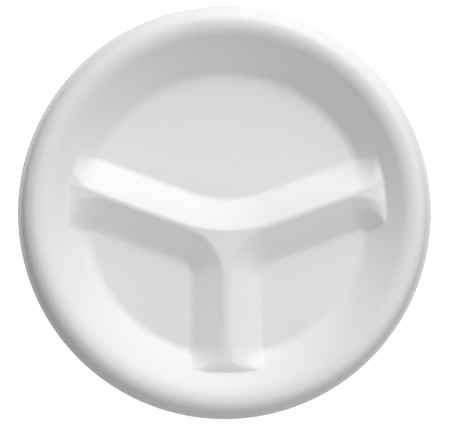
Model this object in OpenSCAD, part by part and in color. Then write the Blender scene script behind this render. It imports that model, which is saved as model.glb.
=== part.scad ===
// Divided compartment plate, formed from one sheet of white foam.
// Millimetres, +Z up. The undersides of the floors lie on z = 0 and the plate's axis is Z.
// The large compartment is at +Y; the divider between the two small ones runs along -Y.
//
// The sheet is the gap between two solid moulds of the same shape: one takes in all that lies
// under the sheet's upper face, the other all that lies under its lower face, a sheet deeper.
// Each mould is a turned dish round three sunk floors with the ridges standing between them.

/* [Plate] */
// Diameter over the rim
plate_d = 228.6; // [224:0.1:236]
// Thickness of the foam sheet
sheet_t = 2.2; // [1.6:0.1:2.8]
// Slope of the dish wall above the horizontal
wall_deg = 43; // [40:1:48]
// Width of the wall in plan, from the edge of the floors to the top of the rim
wall_w = 29.2; // [26:0.1:32]
// Fillet between the floors and the wall, on the upper face
floor_fillet = 7; // [5:0.1:9]
// Round from the wall over the top of the rim, on the upper face
crown_in_round = 9; // [7:0.1:11]

/* [Rim] */
// Width of the rim in plan, from its top to its edge
rim_w = 9.1; // [8.4:0.1:11]
// Round from the top of the rim to its outer skirt, on the upper face
crown_out_round = 5; // [4:0.1:6]
// Slope of the outer skirt below the horizontal
skirt_deg = 50; // [44:1:54]
// Hollow round that turns the skirt out into the lip, on the upper face
lip_fillet = 3; // [2:0.1:4]
// Slope of the lip below the horizontal
lip_deg = 20; // [14:1:26]
// Width of the lip
lip_w = 1.5; // [1:0.1:2]

/* [Dividers] */
// Height of the divider tops above the table
ridge_z = 14.2; // [12:0.1:15]
// Width of the flat along a divider's top
ridge_flat = 1; // [0.9:0.1:3]
// Slope of a divider's sides above the horizontal
ridge_deg = 38; // [36:1:42]
// Fillet between a divider and the floors, on the upper face
foot_fillet = 10.5; // [8:0.1:12]
// Round along a divider's top edges, on the upper face
crest_round = 4.3; // [3.6:0.1:5]
// Distance from the plate's axis to the point where the dividers meet
meet_y = 15.5; // [13:0.1:18]
// Rise of the two side dividers away from the X axis
arm_deg = 19.5; // [18:0.5:21]
// Corner radius of the large floor where the dividers meet
large_corner = 57; // [50:1:62]
// Corner radius of each small floor where the dividers meet
small_corner = 10; // [8:0.1:12]
// Corner radius of the floors where a divider meets the wall
outer_corner = 1.6; // [1:0.1:3]

/* [Hidden] */
$fn = 180;
// Share of a corner's radius by which it stands out past the two sides it joins, at the meeting
// point of the dividers and at their outer ends
corner_over_share = 0.004;
outer_over_share = 0.025;
// Depth by which a corner's section lies under that of the sides, so that no edges cross
corner_sink = 0.02;
// Angle at which rounds run into the flats
run_deg = 5;
// Length of the straight run that carries a round through a flat
run_w = 0.8;
// Length cut from a run before the flat is met
run_half = 0.4;
// Depth of the spare stock under the upper mould
under_z = 1;
// Reach of the cutting shapes, past the plate on all sides
reach = 170;
// Flat steps in each round
steps = 8;

// Angle straight down, straight up and of a half turn
down_deg = 270;
up_deg = 90;
half_turn = 180;
// Direction of the divider along -Y
stem_deg = -90;

rim_r = plate_d / 2;
// Radius of the top of the rim, and that at which the floors begin to turn up into the wall
crown_r = rim_r - rim_w;
floor_r = crown_r - wall_w;
// Radius of the block from which the floors are sunk, inside the wall
block_r = crown_r - crown_in_round * sin(wall_deg);
// Straight part of the wall between its two rounds, measured outwards
wall_run = wall_w - (floor_fillet + crown_in_round) * sin(wall_deg);
// Height of the top of the rim
crown_z = sheet_t + (floor_fillet + crown_in_round) * (1 - cos(wall_deg)) + wall_run * tan(wall_deg);
// Straight part of the skirt, measured outwards
skirt_out = rim_w - crown_out_round * sin(skirt_deg);
skirt_run = skirt_out - lip_fillet * (sin(skirt_deg) - sin(lip_deg)) - lip_w;

// Centres of the rounds, in radius and height
floor_c = [floor_r, sheet_t + floor_fillet];
crown_in_c = [crown_r, crown_z - crown_in_round];
crown_out_c = [crown_r, crown_z - crown_out_round];
skirt_end = crown_out_c + crown_out_round * [sin(skirt_deg), cos(skirt_deg)]
            + skirt_run * [1, -tan(skirt_deg)];
lip_c = skirt_end + lip_fillet * [sin(skirt_deg), cos(skirt_deg)];

// Centre of the round at a divider's top, out from the start of its foot fillet
crest_c_z = ridge_z - crest_round * cos(run_deg) - run_half * tan(run_deg);
crest_up = (crest_c_z - sheet_t - foot_fillet) * cos(ridge_deg) + crest_round + foot_fillet;
crest_c = [crest_up / sin(ridge_deg), crest_c_z];
foot_c = [0, sheet_t + foot_fillet];
// Distance from a divider's centre line to the start of its foot fillet
foot_off = ridge_flat / 2 + crest_c[0] - crest_round * sin(run_deg) + run_half;

// Sub-part to draw

// Points along a round, from one angle to another
function round_points(c, r, from_deg, to_deg) =
  [for (i = [0:steps]) let (a = from_deg + (to_deg - from_deg) * i / steps) c + r * [cos(a), sin(a)]];

function run_dir(deg) = [cos(deg), sin(deg)];

// Section of the dish mould, sunk by a depth below the upper face
function dish_section(depth, rim_out, base_z) =
  let (first = floor_c + (floor_fillet + depth) * run_dir(down_deg + run_deg))
  let (inner = first - run_w * run_dir(run_deg))
  let (lip_end = lip_c + (lip_fillet + depth) * run_dir(down_deg - lip_deg))
  let (lip_out = rim_out - lip_end[0])
  concat(
    [[inner[0], base_z], inner],
    round_points(floor_c, floor_fillet + depth, down_deg + run_deg, down_deg + wall_deg),
    round_points(crown_in_c, crown_in_round - depth, up_deg + wall_deg, up_deg),
    [for (i = [1:steps]) let (a = up_deg - skirt_deg * i / steps)
      crown_out_c + (crown_out_round - depth) * run_dir(a)],
    round_points(lip_c, lip_fillet + depth, down_deg - skirt_deg, down_deg - lip_deg),
    [lip_end + lip_out * [1, -tan(lip_deg)], [rim_out, base_z]]
  );

// Section of the hollow beside a divider, out from a line inside it; near is how far in it starts
function hollow_section(depth, near, over) =
  let (last = crest_c + (crest_round - depth) * run_dir(up_deg + run_deg))
  let (run_end = last + run_w * run_dir(run_deg))
  let (top_z = ridge_z + run_w)
  [for (p = concat(
    [[-near - over, sheet_t - depth]],
    round_points(foot_c, foot_fillet + depth, down_deg, down_deg + ridge_deg),
    round_points(crest_c, crest_round - depth, up_deg + ridge_deg, up_deg + run_deg),
    [run_end, [run_end[0], top_z], [-near - over, top_z]]
  )) [p[0] + over, p[1]]];

// Hollow along one side of a divider
module side_hollow(depth, dir_deg, side) {
  section = hollow_section(depth, reach, 0);
  translate([0, -meet_y, 0])
    rotate([0, 0, dir_deg])
      rotate([up_deg, 0, up_deg])
        linear_extrude(height = 2 * reach, center = true)
          polygon([for (p = section) [side * (foot_off - p[0]), p[1]]]);
}

// What is left standing in a floor's rounded corner; turn is half the angle that the corner takes
module corner_fill(depth, corner_r, over, centre, mid_deg, turn) {
  far = 2 * (foot_off + corner_r);
  translate([centre[0], centre[1], 0])
    rotate([0, 0, mid_deg])
      difference() {
        translate([0, 0, -4 * under_z])
          linear_extrude(height = ridge_z + run_w / 2 + 4 * under_z)
            polygon([[0, 0], far * run_dir(-turn), [far, 0], far * run_dir(turn)]);
        rotate_extrude()
          polygon([for (p = hollow_section(depth, corner_r, over))
            [max(p[0] + corner_r, 0), p[1] - corner_sink]]);
      }
}

// Corner of a floor where two dividers meet
module inner_corner(depth, corner_r, mid_deg, half_deg) {
  away = (foot_off + corner_r) / sin(half_deg);
  centre = [0, -meet_y] + away * run_dir(mid_deg);
  corner_fill(depth, corner_r, corner_r * corner_over_share, centre, mid_deg + half_turn, up_deg - half_deg);
}

// Corner of a floor where a divider meets the wall; side is 1 where the floor lies on its left
module outer_corner_fill(depth, dir_deg, side) {
  in_deg = dir_deg + side * up_deg;
  start = [0, -meet_y] + (foot_off + outer_corner) * run_dir(in_deg);
  half = start * run_dir(dir_deg);
  along = sqrt(pow(floor_r - outer_corner, 2) - start * start + half * half) - half;
  centre = start + along * run_dir(dir_deg);
  // The corner turns from the divider to the wall
  turned = (atan2(centre[1], centre[0]) - in_deg - half_turn) * side;
  turn = (turned - 2 * half_turn * floor(turned / (2 * half_turn))) / 2;
  corner_fill(depth, outer_corner, outer_corner * outer_over_share, centre, in_deg + half_turn + side * turn, turn);
}

// Hollow of one compartment, between the dividers on its right and on its left
module compartment(depth, first_deg, last_deg, corner_r) {
  half_deg = (last_deg - first_deg) / 2;
  difference() {
    intersection() {
      side_hollow(depth, first_deg, 1);
      side_hollow(depth, last_deg, -1);
    }
    inner_corner(depth, corner_r, first_deg + half_deg, half_deg);
    outer_corner_fill(depth, first_deg, 1);
    outer_corner_fill(depth, last_deg, -1);
  }
}

// All that lies under one face of the sheet: depth 0 is the upper face
module mould(depth, rim_out, base_z) {
  difference() {
    translate([0, 0, base_z])
      cylinder(r = block_r, h = ridge_z - depth - base_z);
    compartment(depth, arm_deg, half_turn - arm_deg, large_corner);
    compartment(depth, stem_deg, arm_deg, small_corner);
    compartment(depth, half_turn - arm_deg, stem_deg + 2 * half_turn, small_corner);
  }
  rotate_extrude()
    polygon(dish_section(depth, rim_out, base_z));
}

// Plate: floors, wall, rim and the hollow dividers, all one formed sheet
module plate() {
  color([0.96, 0.96, 0.95])
    difference() {
      mould(0, rim_r, -under_z);
      mould(sheet_t, rim_r + run_w, -2 * under_z);
    }
}

plate();
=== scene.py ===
import math
from collections import namedtuple

import bpy
import numpy as np
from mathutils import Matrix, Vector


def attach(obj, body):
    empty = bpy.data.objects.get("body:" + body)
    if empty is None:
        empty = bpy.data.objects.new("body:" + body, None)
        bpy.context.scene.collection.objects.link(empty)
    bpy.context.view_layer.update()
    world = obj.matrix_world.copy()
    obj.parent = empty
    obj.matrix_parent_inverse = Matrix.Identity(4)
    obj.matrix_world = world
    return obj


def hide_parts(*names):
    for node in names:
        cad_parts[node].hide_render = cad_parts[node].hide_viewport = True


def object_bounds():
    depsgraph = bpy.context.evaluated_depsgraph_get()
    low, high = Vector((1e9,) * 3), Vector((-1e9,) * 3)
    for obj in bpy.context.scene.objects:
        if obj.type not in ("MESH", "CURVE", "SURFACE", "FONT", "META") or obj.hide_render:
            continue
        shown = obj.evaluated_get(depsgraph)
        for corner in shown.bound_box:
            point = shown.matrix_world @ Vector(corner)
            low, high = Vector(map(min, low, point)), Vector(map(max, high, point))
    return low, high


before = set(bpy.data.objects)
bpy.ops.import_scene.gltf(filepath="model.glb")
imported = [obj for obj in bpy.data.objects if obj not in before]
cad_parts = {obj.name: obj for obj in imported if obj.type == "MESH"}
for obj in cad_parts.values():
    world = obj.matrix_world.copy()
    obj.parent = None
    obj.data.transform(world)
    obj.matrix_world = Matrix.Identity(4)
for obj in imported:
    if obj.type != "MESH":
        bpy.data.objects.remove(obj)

# A divided compartment plate of white foam, lying on a pale floor and seen from straight above.
# The plate's sizes are in millimetres, as in the CAD part, and MM turns them into Blender's metres.

CAD_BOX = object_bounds()
MM = 0.001

# A side that rises from a floor: its slope, the fillet at its foot and the swell of its middle
Side = namedtuple("Side", "slope fillet swell")
# A compartment: the directions of the dividers on its right and left, seen from where they meet,
# the radius of its floor's corner between them, and its side towards them
Room = namedtuple("Room", "first last corner side")

# The dish: floor, wall and rim, all on the sheet's upper face
SHEET = 2.2
RIM_R = round(CAD_BOX[1][0] / MM, 1)
RIM_W = 9.1
WALL = Side(slope=math.radians(44), fillet=7.0, swell=0.0)
WALL_W = 29.2
CROWN_R = RIM_R - RIM_W
FLOOR_R = CROWN_R - WALL_W
CROWN_IN = 11.5
CROWN_OUT = 7.0
SKIRT_SLOPE = math.radians(65)
LIP_FILLET = 2.0
LIP_SLOPE = math.radians(32)
LIP_W = 1.5
# Round at the two corners of the cut edge, and the shares of its turn at which it has points
EDGE_ROUND = 0.45
EDGE_SHARES = (0.35, 0.7, 1.0)

# The plate was cut from its sheet a little off the form's centre: how far the floors and dividers
# lie from the cut edge's centre, and how far the top of the rim lies from it
FORM_OFF = (1.2, -1.5)
CROWN_OFF = (1.2, 0.5)
# Radii between which the wall goes from the first offset to the second, and the radius from which
# the rim takes up what is left of it
FORM_TURN_R = (80.0, 103.0)
FORM_KEPT_R = 105.5

# The dividers, also on the upper face: two arms that rise from the X axis and a stem along -Y.
# RIDGE_Z is the height at which their sides end, before TOP_BLEND takes a little off
RIDGE_Z = 13.4
RIDGE_FLAT = 0.1
CREST_ROUND = 2.8
MEET_Y = -14.1
ARM = math.radians(20)
STEM = -math.pi / 2
# The large compartment, and the small one on the right, which the left one mirrors
LARGE = Room(
    first=ARM, last=math.pi - ARM, corner=58.0,
    side=Side(slope=math.radians(33.3), fillet=6.0, swell=0.0),
)
SMALL = Room(
    first=STEM, last=ARM, corner=8.0,
    side=Side(slope=math.radians(31), fillet=5.5, swell=0.6),
)
# Corner radius of the floors where a divider meets the wall
OUTER_CORNER = 1.6
# Height over which the wall rises softly out of a divider's top, and the share of it that is left
# at the level of the floors
END_BLEND = 1.2
END_BLEND_LEAST = 0.02
# Height over which the dividers' sides round over into their tops, and the level that bounds them
TOP_BLEND = 0.8
TOP_Z = RIDGE_Z + TOP_BLEND / 4
# The level falls towards the wall: from this radius, at this slope, set in over this length
END_FALL_R = 81.0
END_FALL = math.tan(math.radians(16))
END_FALL_IN = 3.0
# Along the stem it falls by the drop, most of it within a run of the large compartment's crest
STEM_DROP = 0.7
STEM_RUN = 4.0

# The mesh: rings along the radius, points round each ring, and half the length over which its
# slope is measured
RING_STEP = 0.6
TURN_POINTS = 640
SLOPE_REACH = 0.05

# The foam's look: its cells, as so many to a metre, their height in metres, and how much of it shows
CELL_SCALE = 2600
CELL_HEIGHT = 0.00006
CELL_STRENGTH = 0.12
# The wider mottle, also as so many to a metre, with the tints and roughnesses that it goes between
MOTTLE_SCALE = 420
MOTTLE_DETAIL = 3
FOAM_DARK = (0.86, 0.86, 0.855, 1)
FOAM_LIGHT = (0.90, 0.90, 0.895, 1)
FOAM_ROUGH = (0.48, 0.62)
# The foam's refractive index
FOAM_IOR = 1.45

# The floor, in metres: half its width, and its place a hair under the plate
FLOOR_HALF = 3.0
FLOOR_Z = -0.0003
FLOOR_TINT = (0.93, 0.93, 0.93, 1)
FLOOR_ROUGH = 0.9
FLOOR_GLOW = 0.9

# The lights, each with its azimuth and elevation in degrees and its power in watts, and their
# distance and width in metres
LIGHTS = (
    ("key_back", 80, 30, 14.6),
    ("key_right", 60, 50, 10.1),
    ("fill_front", 250, 35, 5.7),
    ("fill_right", 330, 25, 3.4),
)
LIGHT_AWAY = 1.6
LIGHT_W = 0.9
# The even light from all round, and the colour of it and of the floor's glow
WORLD_LIGHT = 0.085
WHITE = (1, 1, 1, 1)

# The photograph's size in pixels, and where it has the centre and radius of the plate's outline
IMAGE_W = 450
IMAGE_H = 441
CENTRE_PX = (224.6, 212.6)
RIM_PX = 206.6
# Height of that outline on the plate, in millimetres, and the camera's own height in metres
OUTLINE_Z = 15.8
CAMERA_Z = 1.6
SENSOR_MM = 36.0


def eased(share):
    """A share of a change that sets in and ends softly."""
    share = np.clip(share, 0, 1)
    return share * share * (3 - 2 * share)


def soft_max(a, b, width):
    """The larger of two heights, rounded over a width where they are close."""
    near = np.maximum(width - np.abs(a - b), 0)
    return np.maximum(a, b) + near ** 2 / (4 * width)


def arc_low(x, centre_x, centre_z, radius):
    """Height of a hollow round, below its centre."""
    return centre_z - np.sqrt(np.maximum(radius ** 2 - (x - centre_x) ** 2, 0))


def arc_high(x, centre_x, centre_z, radius):
    """Height of a full round, above its centre."""
    return centre_z + np.sqrt(np.maximum(radius ** 2 - (x - centre_x) ** 2, 0))


def dish_height(r):
    """Height of the dish's upper face at a radius: floor, fillet, wall, rim, skirt, lip."""
    sin_w, cos_w, tan_w = math.sin(WALL.slope), math.cos(WALL.slope), math.tan(WALL.slope)
    sin_s, cos_s, tan_s = math.sin(SKIRT_SLOPE), math.cos(SKIRT_SLOPE), math.tan(SKIRT_SLOPE)
    sin_l, cos_l, tan_l = math.sin(LIP_SLOPE), math.cos(LIP_SLOPE), math.tan(LIP_SLOPE)
    wall_start = FLOOR_R + WALL.fillet * sin_w
    wall_end = CROWN_R - CROWN_IN * sin_w
    wall_start_z = SHEET + WALL.fillet * (1 - cos_w)
    crown_z = wall_start_z + (wall_end - wall_start) * tan_w + CROWN_IN * (1 - cos_w)
    skirt_start = CROWN_R + CROWN_OUT * sin_s
    skirt_start_z = crown_z - CROWN_OUT * (1 - cos_s)
    lip_start = RIM_R - LIP_W
    skirt_end = lip_start - LIP_FILLET * (sin_s - sin_l)
    skirt_end_z = skirt_start_z - (skirt_end - skirt_start) * tan_s
    lip_centre = skirt_end + LIP_FILLET * sin_s
    lip_centre_z = skirt_end_z + LIP_FILLET * cos_s
    lip_start_z = lip_centre_z - LIP_FILLET * cos_l
    return np.select(
        [
            r < FLOOR_R, r < wall_start, r < wall_end, r < CROWN_R,
            r < skirt_start, r < skirt_end, r < lip_start,
        ],
        [
            np.full_like(r, SHEET),
            arc_low(r, FLOOR_R, SHEET + WALL.fillet, WALL.fillet),
            wall_start_z + (r - wall_start) * tan_w,
            arc_high(r, CROWN_R, crown_z - CROWN_IN, CROWN_IN),
            arc_high(r, CROWN_R, crown_z - CROWN_OUT, CROWN_OUT),
            skirt_start_z - (r - skirt_start) * tan_s,
            arc_low(r, lip_centre, lip_centre_z, LIP_FILLET),
        ],
        lip_start_z - (r - lip_start) * tan_l,
    )


def side_run(side):
    """Width in plan of a side, from the start of its foot fillet to the top of the divider's crest."""
    centre_z = RIDGE_Z - CREST_ROUND
    up = (centre_z - SHEET - side.fillet) * math.cos(side.slope) + CREST_ROUND + side.fillet
    return up / math.sin(side.slope)


def side_height(u, side):
    """Height of a side at a distance out from its floor, up to the dividers' tops."""
    sin_s, cos_s, tan_s = math.sin(side.slope), math.cos(side.slope), math.tan(side.slope)
    run = side_run(side)
    swelled = side.swell * np.sin(math.pi * np.clip(u / run, 0, 1)) ** 2
    start = side.fillet * sin_s
    end = run - CREST_ROUND * sin_s
    start_z = SHEET + side.fillet * (1 - cos_s)
    return swelled + np.select(
        [u < 0, u < start, u < end, u < run],
        [
            np.full_like(u, SHEET),
            arc_low(u, 0, SHEET + side.fillet, side.fillet),
            start_z + (u - start) * tan_s,
            arc_high(u, run, RIDGE_Z - CREST_ROUND, CREST_ROUND),
        ],
        np.full_like(u, RIDGE_Z),
    )


def turned(x, y, centre, first, span):
    """Distance from a corner's centre, and the share of the corner's turn at which a point lies."""
    vx, vy = x - centre[0], y - centre[1]
    sign = 1 if span > 0 else -1
    angle = (sign * (np.arctan2(vy, vx) - first) + math.pi) % (2 * math.pi) - math.pi
    return np.hypot(vx, vy), angle / abs(span)


def outer_corner(x, y, along, inward, side, height):
    """A compartment's height, with the round between a divider's side and the plate's wall."""
    off = RIDGE_FLAT / 2 + side_run(side) + OUTER_CORNER
    ex, ey = math.cos(along), math.sin(along)
    nx, ny = math.cos(inward), math.sin(inward)
    start_x, start_y = off * nx, MEET_Y + off * ny
    half = start_x * ex + start_y * ey
    reach = math.sqrt(half ** 2 - start_x ** 2 - start_y ** 2 + (FLOOR_R - OUTER_CORNER) ** 2) - half
    centre = (start_x + reach * ex, start_y + reach * ey)
    to_divider = inward + math.pi
    to_wall = math.atan2(centre[1], centre[0])
    span = (to_wall - to_divider + math.pi) % (2 * math.pi) - math.pi
    away, share = turned(x, y, centre, to_divider, span)
    out = away - OUTER_CORNER
    ease = eased(share)
    at_divider = side_height(out, side)
    # Under the wall by the blend's height there, so that the corner ends in it without a line
    at_wall = side_height(out, WALL) - END_BLEND
    corner = at_divider * (1 - ease) + at_wall * ease
    inside = (share > 0) & (share < 1) & (out > 0)
    return np.where(inside, np.maximum(corner, height), height)


def floor_out(x, y, room):
    """Distance out from a compartment's floor, towards the dividers and the corner between them."""
    foot = RIDGE_FLAT / 2 + side_run(room.side)
    mid = (room.first + room.last) / 2
    half = (room.last - room.first) / 2
    py = y - MEET_Y
    # Distances from the dividers' centre lines, on the compartment's side
    from_first = -x * math.sin(room.first) + py * math.cos(room.first)
    from_last = x * math.sin(room.last) - py * math.cos(room.last)
    straight = np.maximum(foot - from_first, foot - from_last)
    away = (foot + room.corner) / math.sin(half)
    cx, cy = x - away * math.cos(mid), py - away * math.sin(mid)
    back = -(cx * math.cos(mid) + cy * math.sin(mid))
    across = np.abs(-cx * math.sin(mid) + cy * math.cos(mid))
    in_corner = (back > 0) & (across < back * math.tan(math.pi / 2 - half))
    return np.where(in_corner, np.hypot(cx, cy) - room.corner, straight)


def room_height(x, y, room):
    """Height round a compartment, up to the dividers' tops."""
    height = side_height(floor_out(x, y, room), room.side)
    height = outer_corner(x, y, room.first, room.first + math.pi / 2, room.side, height)
    return outer_corner(x, y, room.last, room.last - math.pi / 2, room.side, height)


def tops_height(x, y):
    """Level that bounds the dividers' tops, with its falls towards the wall and along the stem."""
    to_wall = np.maximum(np.hypot(x, y) - END_FALL_R, 0)
    wall_fall = END_FALL * (np.hypot(to_wall, END_FALL_IN) - END_FALL_IN)
    past = floor_out(x, y, LARGE) - side_run(LARGE.side)
    stem_fall = STEM_DROP * (1 - np.exp(-np.maximum(past, 0) / STEM_RUN))
    return TOP_Z - wall_fall - stem_fall


def form_height(x, y):
    """Height of the formed sheet's upper face, with x and y from the form's own centre."""
    large = room_height(x, y, LARGE)
    right = room_height(x, y, SMALL)
    left = room_height(-x, y, SMALL)
    ridges = np.minimum(np.minimum(large, right), left)
    ridges = -soft_max(-ridges, -tops_height(x, y), TOP_BLEND)
    dish = dish_height(np.hypot(x, y))
    lower = np.minimum(ridges, dish)
    width = END_BLEND * np.clip((lower - SHEET) / (RIDGE_Z - SHEET), END_BLEND_LEAST, 1)
    return np.where(lower <= SHEET, np.maximum(ridges, dish), soft_max(ridges, dish, width))


def sheet_height(x, y):
    """Height of the plate's upper face, with x and y from the cut edge's centre."""
    r = np.hypot(x, y)
    kept = 1 - eased((r - FORM_KEPT_R) / (RIM_R - EDGE_ROUND - FORM_KEPT_R))
    up = eased((r - FORM_TURN_R[0]) / (FORM_TURN_R[1] - FORM_TURN_R[0]))
    off_x = kept * (FORM_OFF[0] * (1 - up) + CROWN_OFF[0] * up)
    off_y = kept * (FORM_OFF[1] * (1 - up) + CROWN_OFF[1] * up)
    return form_height(x - off_x, y - off_y)


def face_rings():
    """Rings of points over the upper face and, a sheet below it, over the lower one."""
    radii = np.append(np.arange(RING_STEP, RIM_R - EDGE_ROUND, RING_STEP), RIM_R - EDGE_ROUND)
    turn = np.arange(TURN_POINTS) * 2 * math.pi / TURN_POINTS
    r, a = np.meshgrid(radii, turn, indexing="ij")
    x, y = r * np.cos(a), r * np.sin(a)
    z = sheet_height(x, y)
    span = 2 * SLOPE_REACH
    slope_x = (sheet_height(x + SLOPE_REACH, y) - sheet_height(x - SLOPE_REACH, y)) / span
    slope_y = (sheet_height(x, y + SLOPE_REACH) - sheet_height(x, y - SLOPE_REACH)) / span
    length = np.sqrt(1 + slope_x ** 2 + slope_y ** 2)
    top = np.stack([x, y, z], -1)
    under = top - SHEET * np.stack([-slope_x, -slope_y, np.ones_like(z)], -1) / length[..., None]
    return top, under, turn


def edge_rings(top, under, turn):
    """The cut edge of the lip: a small round, a straight wall and a small round."""
    slope = math.tan(LIP_SLOPE)
    top_z = top[-1, 0, 2]
    low_r = math.hypot(under[-1, 0, 0], under[-1, 0, 1])
    low_z = under[-1, 0, 2] - (RIM_R - EDGE_ROUND - low_r) * slope
    corner_top = top_z - EDGE_ROUND * slope
    corner_low = low_z - EDGE_ROUND * slope
    outline = []
    for corner_z, way, shares in ((corner_top, -1, EDGE_SHARES), (corner_low, 1, EDGE_SHARES[::-1])):
        for share in shares:
            angle = share * math.pi / 2
            r = RIM_R - EDGE_ROUND * (1 - math.sin(angle))
            z = corner_z + way * EDGE_ROUND * (1 - math.cos(angle)) + EDGE_ROUND * slope * (1 - share)
            outline.append((r, z))
    outline.append((RIM_R - EDGE_ROUND, low_z))
    return np.array([
        np.stack([r * np.cos(turn), r * np.sin(turn), np.full_like(turn, z)], -1)
        for r, z in outline
    ])


def build_plate():
    """The plate's mesh: one closed skin of quads, with a fan of triangles at each centre."""
    top, under, turn = face_rings()
    rings = np.concatenate([top, edge_rings(top, under, turn), under[::-1]])
    count = len(rings)
    points = rings.reshape(-1, 3)
    first_centre = len(points)
    centre_top = [0, 0, float(sheet_height(np.zeros(1), np.zeros(1))[0])]
    centre_low = [0, 0, centre_top[2] - SHEET]
    points = np.concatenate([points, [centre_top], [centre_low]]) * MM
    i, j = np.meshgrid(np.arange(count - 1), np.arange(TURN_POINTS), indexing="ij")
    k = (j + 1) % TURN_POINTS
    quads = np.stack([i * TURN_POINTS + j, (i + 1) * TURN_POINTS + j,
                      (i + 1) * TURN_POINTS + k, i * TURN_POINTS + k], -1).reshape(-1, 4)
    j = np.arange(TURN_POINTS)
    k = (j + 1) % TURN_POINTS
    last = (count - 1) * TURN_POINTS
    fan_top = np.stack([np.full_like(j, first_centre), j, k], -1)
    fan_low = np.stack([np.full_like(j, first_centre + 1), last + k, last + j], -1)
    mesh = bpy.data.meshes.new("foam_plate")
    mesh.from_pydata(points.tolist(), [], quads.tolist() + fan_top.tolist() + fan_low.tolist())
    mesh.validate()
    mesh.shade_smooth()
    plate = bpy.data.objects.new("foam_plate", mesh)
    bpy.context.scene.collection.objects.link(plate)
    return plate


def new_material(name):
    """A material that uses nodes, and its shader."""
    material = bpy.data.materials.new(name)
    material.use_nodes = True
    return material, material.node_tree.nodes["Principled BSDF"]


def foam_material():
    """White foam: closed cells under a thin skin, a soft sheen and a faint mottle."""
    material, shader = new_material("white_foam")
    nodes, links = material.node_tree.nodes, material.node_tree.links
    place = nodes.new("ShaderNodeTexCoord")
    cells = nodes.new("ShaderNodeTexVoronoi")
    cells.inputs["Scale"].default_value = CELL_SCALE
    mottle = nodes.new("ShaderNodeTexNoise")
    mottle.inputs["Scale"].default_value = MOTTLE_SCALE
    mottle.inputs["Detail"].default_value = MOTTLE_DETAIL
    links.new(place.outputs["Object"], cells.inputs["Vector"])
    links.new(place.outputs["Object"], mottle.inputs["Vector"])
    tint = nodes.new("ShaderNodeMix")
    tint.data_type = "RGBA"
    tint.inputs["A"].default_value = FOAM_DARK
    tint.inputs["B"].default_value = FOAM_LIGHT
    links.new(mottle.outputs["Fac"], tint.inputs["Factor"])
    links.new(tint.outputs["Result"], shader.inputs["Base Color"])
    rough = nodes.new("ShaderNodeMapRange")
    rough.inputs["To Min"].default_value = FOAM_ROUGH[0]
    rough.inputs["To Max"].default_value = FOAM_ROUGH[1]
    links.new(mottle.outputs["Fac"], rough.inputs["Value"])
    links.new(rough.outputs["Result"], shader.inputs["Roughness"])
    bump = nodes.new("ShaderNodeBump")
    bump.inputs["Strength"].default_value = CELL_STRENGTH
    bump.inputs["Distance"].default_value = CELL_HEIGHT
    links.new(cells.outputs["Distance"], bump.inputs["Height"])
    links.new(bump.outputs["Normal"], shader.inputs["Normal"])
    shader.inputs["IOR"].default_value = FOAM_IOR
    return material


def floor_material():
    """A matt white floor that glows, so that it is as white as the photograph's ground."""
    material, shader = new_material("pale_floor")
    shader.inputs["Base Color"].default_value = FLOOR_TINT
    shader.inputs["Roughness"].default_value = FLOOR_ROUGH
    shader.inputs["Emission Color"].default_value = WHITE
    shader.inputs["Emission Strength"].default_value = FLOOR_GLOW
    return material


def build_floor():
    """The floor, which the camera sees but which throws no light up at the plate."""
    mesh = bpy.data.meshes.new("floor")
    corners = [(x * FLOOR_HALF, y * FLOOR_HALF, 0) for x, y in ((-1, -1), (1, -1), (1, 1), (-1, 1))]
    mesh.from_pydata(corners, [], [(0, 1, 2, 3)])
    mesh.materials.append(floor_material())
    floor = bpy.data.objects.new("floor", mesh)
    bpy.context.scene.collection.objects.link(floor)
    floor.location.z = FLOOR_Z
    floor.visible_diffuse = False


def add_light(name, azimuth, elevation, power):
    """A square soft light that looks at the plate."""
    light = bpy.data.lights.new(name, "AREA")
    light.size = LIGHT_W
    light.energy = power
    lamp = bpy.data.objects.new(name, light)
    flat = LIGHT_AWAY * math.cos(elevation)
    up = LIGHT_AWAY * math.sin(elevation)
    lamp.location = (flat * math.cos(azimuth), flat * math.sin(azimuth), up)
    lamp.rotation_euler = (math.pi / 2 - elevation, 0, azimuth + math.pi / 2)
    bpy.context.scene.collection.objects.link(lamp)


def add_lights():
    """Two keys from the back, two fills from the front and an even white world."""
    for name, azimuth, elevation, power in LIGHTS:
        add_light(name, math.radians(azimuth), math.radians(elevation), power)
    world = bpy.data.worlds.new("studio")
    world.use_nodes = True
    back = world.node_tree.nodes["Background"]
    back.inputs["Color"].default_value = WHITE
    back.inputs["Strength"].default_value = WORLD_LIGHT
    bpy.context.scene.world = world
    bpy.context.scene.view_settings.view_transform = "Standard"


def add_camera():
    """Straight above, with the plate's outline where the photograph has it."""
    data = bpy.data.cameras.new("camera")
    data.sensor_width = SENSOR_MM
    px = RIM_R * MM / RIM_PX
    data.lens = SENSOR_MM * (CAMERA_Z - OUTLINE_Z * MM) / (IMAGE_W * px)
    camera = bpy.data.objects.new("camera", data)
    camera.location = ((IMAGE_W / 2 - CENTRE_PX[0]) * px, (CENTRE_PX[1] - IMAGE_H / 2) * px, CAMERA_Z)
    bpy.context.scene.collection.objects.link(camera)
    bpy.context.scene.camera = camera


plate = build_plate()
plate.data.materials.append(foam_material())
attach(plate, "root")
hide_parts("plate")

build_floor()
add_lights()
add_camera()
